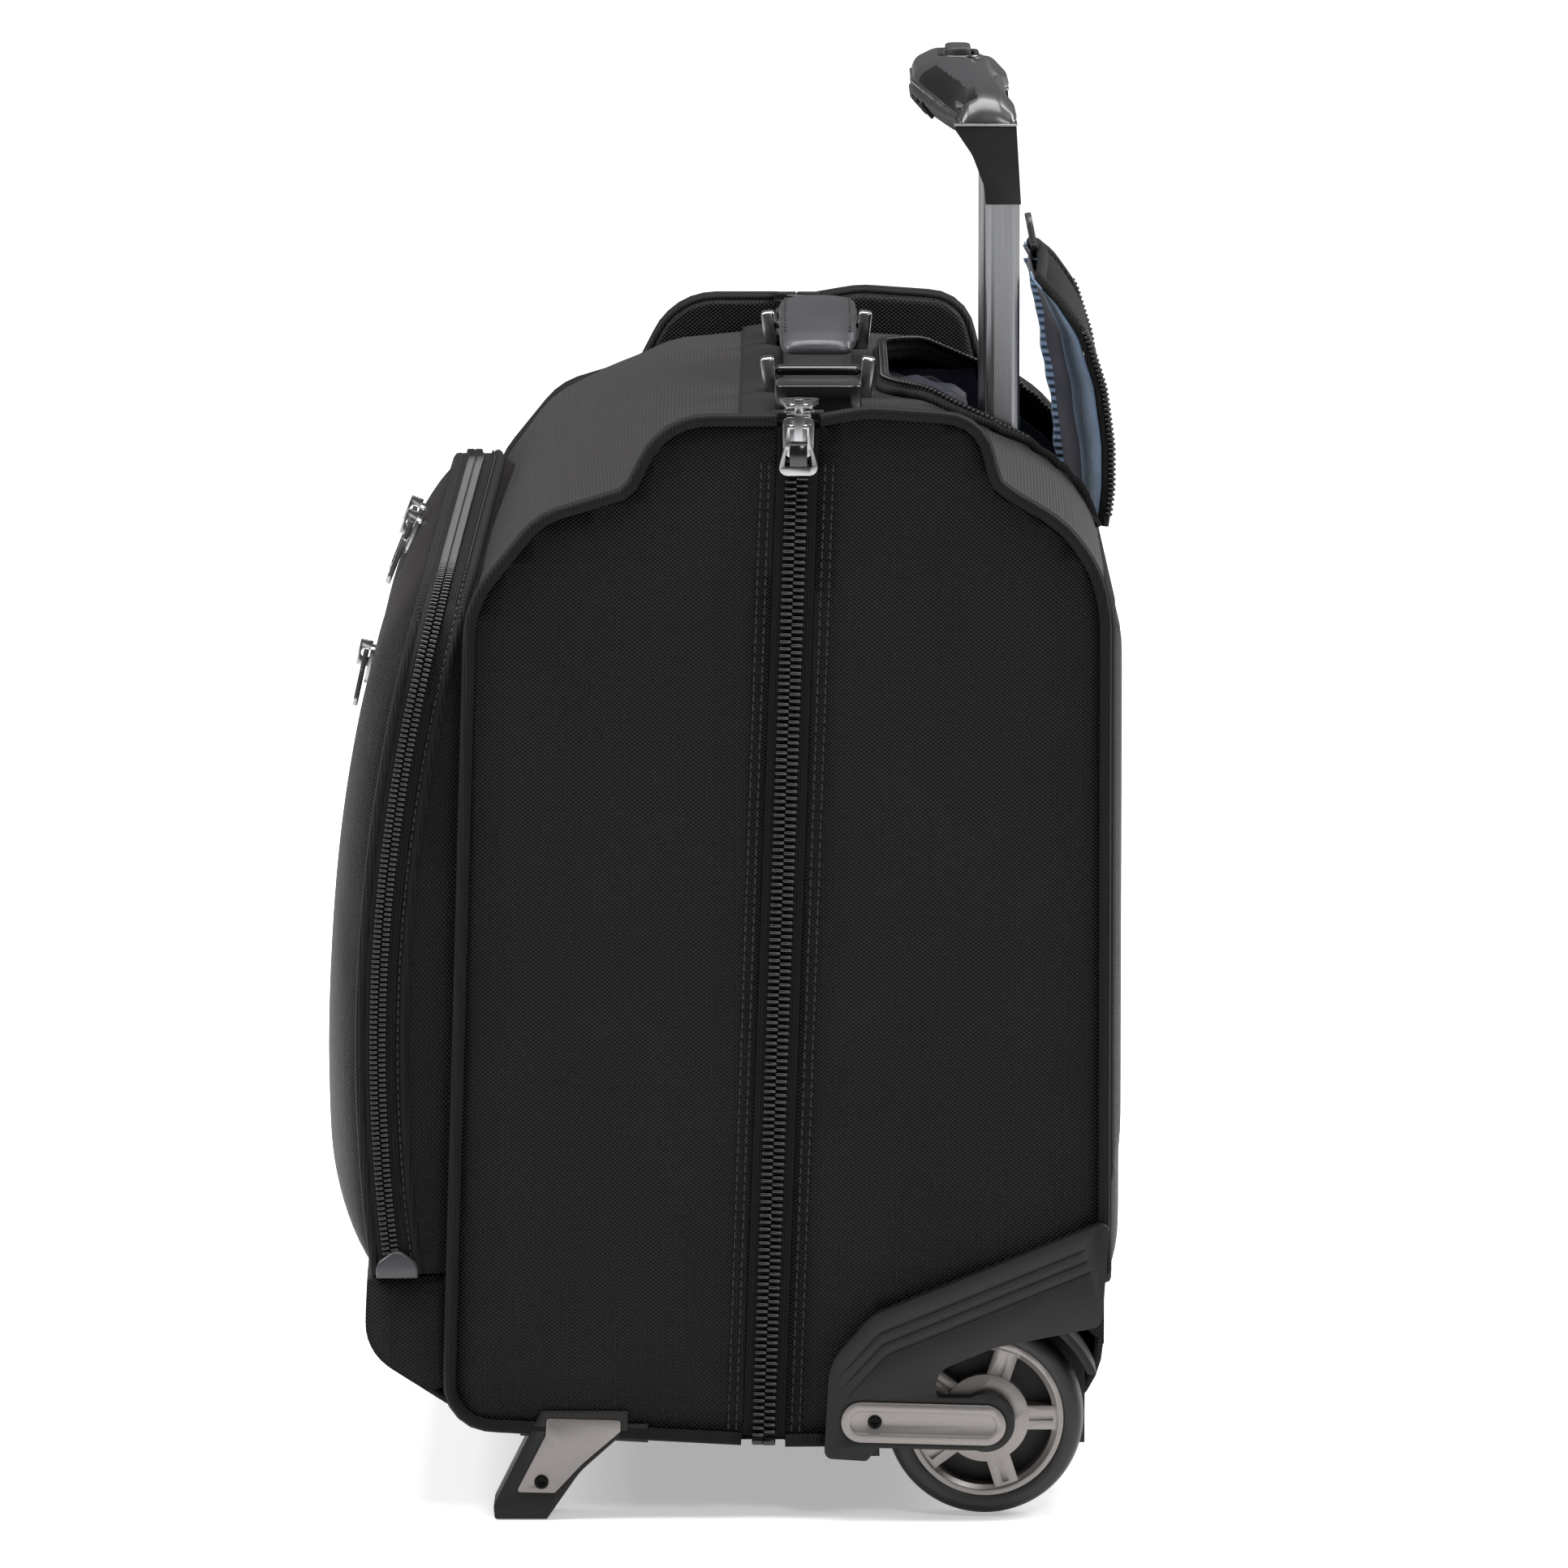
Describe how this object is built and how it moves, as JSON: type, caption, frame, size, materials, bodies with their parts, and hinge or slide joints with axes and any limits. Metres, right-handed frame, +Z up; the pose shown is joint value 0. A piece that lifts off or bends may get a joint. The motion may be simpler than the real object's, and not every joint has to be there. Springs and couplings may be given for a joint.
{
  "type": "rolling garment case",
  "caption": "Soft-sided rolling flight case that folds open at the top, with a front pocket, telescoping handle, flap and inset wheels.",
  "frame": {"origin": "middle of the case's box at ground level", "axes": "+Z up, the front pocket faces -Y, +X across the width"},
  "size_m": [0.5658, 0.2979, 0.5358],
  "materials": {
    "ballistic_nylon": "1680 denier basket weave, matt with a low sheen",
    "piping": "bias-bound edge tape",
    "zip_coil": "nylon coil on woven tape",
    "lining": "navy polyester lining",
    "webbing": "ribbed webbing",
    "brushed_aluminium": "brushed along its length",
    "moulded_abs": "fine-textured black",
    "gloss_grip": "satin dark grey",
    "grip_rubber": "ribbed soft-touch",
    "chrome_plate": "bright nickel and chrome plate",
    "steel": "plain steel",
    "warm_metal_paint": "warm grey metallic paint",
    "black_screw": "blackened steel",
    "tyre": "moulded polyurethane",
    "leather": "smooth dark leather"
  },
  "bodies": {
    "rear_half": {"rear_shell": "ballistic_nylon", "rear_panel": "ballistic_nylon", "rear_piping": "piping", "spine": "ballistic_nylon", "zip_stringer_rear": "zip_coil", "rear_lining_panel": "lining", "garment_straps": "webbing", "tube_outer_left": "brushed_aluminium", "tube_outer_right": "brushed_aluminium", "tube_foot_bracket": "moulded_abs", "top_bezel": "moulded_abs", "wheel_housing_left": "moulded_abs", "wheel_housing_right": "moulded_abs", "housing_inserts": "warm_metal_paint", "housing_screws": "black_screw", "axles": "steel", "main_slider_top": "chrome_plate", "handle_brackets": "chrome_plate", "buckle_sockets": "moulded_abs", "buckle_plugs": "moulded_abs", "recess_liner": "lining"},
    "front_half": {"front_shell": "ballistic_nylon", "front_piping": "piping", "zip_stringer_front": "zip_coil", "front_lining_panel": "lining", "pocket_gusset": "ballistic_nylon", "kick_panel": "ballistic_nylon", "feet": "moulded_abs", "foot_inserts": "warm_metal_paint", "foot_screws": "black_screw"},
    "pocket_door": {"pocket_panel": "ballistic_nylon", "pocket_sliders": "chrome_plate"},
    "pocket_top_pulls": {"pocket_pulls_top": "chrome_plate"},
    "pocket_lower_pull": {"pocket_pull_lower": "chrome_plate"},
    "middle_stage": {"tube_mid_left": "brushed_aluminium", "tube_mid_right": "brushed_aluminium"},
    "top_stage": {"tube_inner_left": "brushed_aluminium", "tube_inner_right": "brushed_aluminium", "grip_collars": "moulded_abs", "grip_top": "gloss_grip", "grip_underside": "grip_rubber", "grip_trim": "chrome_plate"},
    "button": {"release_button": "moulded_abs", "release_rods": "steel"},
    "pins": {"lock_pins": "steel"},
    "wheel_left": {"rim_left": "warm_metal_paint", "tyre_left": "tyre", "bearings_left": "steel"},
    "wheel_right": {"rim_right": "warm_metal_paint", "tyre_right": "tyre", "bearings_right": "steel"},
    "rear_flap": {"flap_panel": "ballistic_nylon", "flap_tab": "leather"},
    "carry_handle": {"handle_strap": "webbing", "handle_grip": "leather"},
    "side_slider": {"main_slider_side": "chrome_plate"},
    "side_pull": {"main_pull_side": "chrome_plate"},
    "top_pull": {"main_pull_top": "chrome_plate"}
  },
  "joints": [
    {"name": "front_half_fold", "type": "hinge", "parent": "rear_half", "child": "front_half", "pos_m": [0, 0.01, 0.408], "axis": [-1, 0, 0], "range_deg": [0, 90]},
    {"name": "pocket_door_fold", "type": "hinge", "parent": "front_half", "child": "pocket_door", "pos_m": [0, -0.139, 0.091], "axis": [1, 0, 0], "range_deg": [0, 75]},
    {"name": "pocket_top_pulls_swing", "type": "hinge", "parent": "pocket_door", "child": "pocket_top_pulls", "pos_m": [0, -0.12666, 0.35064], "axis": [-1, 0, 0], "range_deg": [0, 110]},
    {"name": "pocket_lower_pull_swing", "type": "hinge", "parent": "pocket_door", "child": "pocket_lower_pull", "pos_m": [0, -0.1452, 0.2968], "axis": [-1, 0, 0], "range_deg": [0, 110]},
    {"name": "trolley_stage_1", "type": "slide", "parent": "rear_half", "child": "middle_stage", "axis": [0, 0, 1], "range_m": [0, 0.24]},
    {"name": "trolley_stage_2", "type": "slide", "parent": "middle_stage", "child": "top_stage", "axis": [0, 0, 1], "range_m": [-0.14, 0.1]},
    {"name": "release_button_press", "type": "slide", "parent": "top_stage", "child": "button", "axis": [0, 0, -1], "range_m": [0, 0.004], "stiffness_N_per_m": 900, "springref_m": -0.003},
    {"name": "lock_pin_slide", "type": "slide", "parent": "top_stage", "child": "pins", "axis": [0, -1, 0], "range_m": [0, 0.002]},
    {"name": "wheel_left_spin", "type": "hinge", "parent": "rear_half", "child": "wheel_left", "pos_m": [-0.26, 0.0945, 0.0375], "axis": [1, 0, 0], "continuous": true},
    {"name": "wheel_right_spin", "type": "hinge", "parent": "rear_half", "child": "wheel_right", "pos_m": [0.26, 0.0945, 0.0375], "axis": [1, 0, 0], "continuous": true},
    {"name": "rear_flap_fold", "type": "hinge", "parent": "rear_half", "child": "rear_flap", "pos_m": [0, 0.141, 0.358], "axis": [-1, 0, 0], "range_deg": [0, 120]},
    {"name": "carry_handle_lift", "type": "slide", "parent": "rear_half", "child": "carry_handle", "axis": [0, 0, 1], "range_m": [0, 0.007]},
    {"name": "side_slider_travel", "type": "slide", "parent": "rear_half", "child": "side_slider", "axis": [0, -0.0344, -0.9994], "range_m": [0, 0.346]},
    {"name": "side_pull_swing", "type": "hinge", "parent": "side_slider", "child": "side_pull", "pos_m": [0.276, 0.02433, 0.4115], "axis": [0, -1, 0], "range_deg": [0, 120]},
    {"name": "top_pull_swing", "type": "hinge", "parent": "rear_half", "child": "top_pull", "pos_m": [0.2675, 0.02454, 0.4185], "axis": [0, 1, 0], "range_deg": [0, 120]}
  ],
  "couplings": [
    {"joint": "lock_pin_slide", "follows": "release_button_press", "ratio": 0.5}
  ]
}
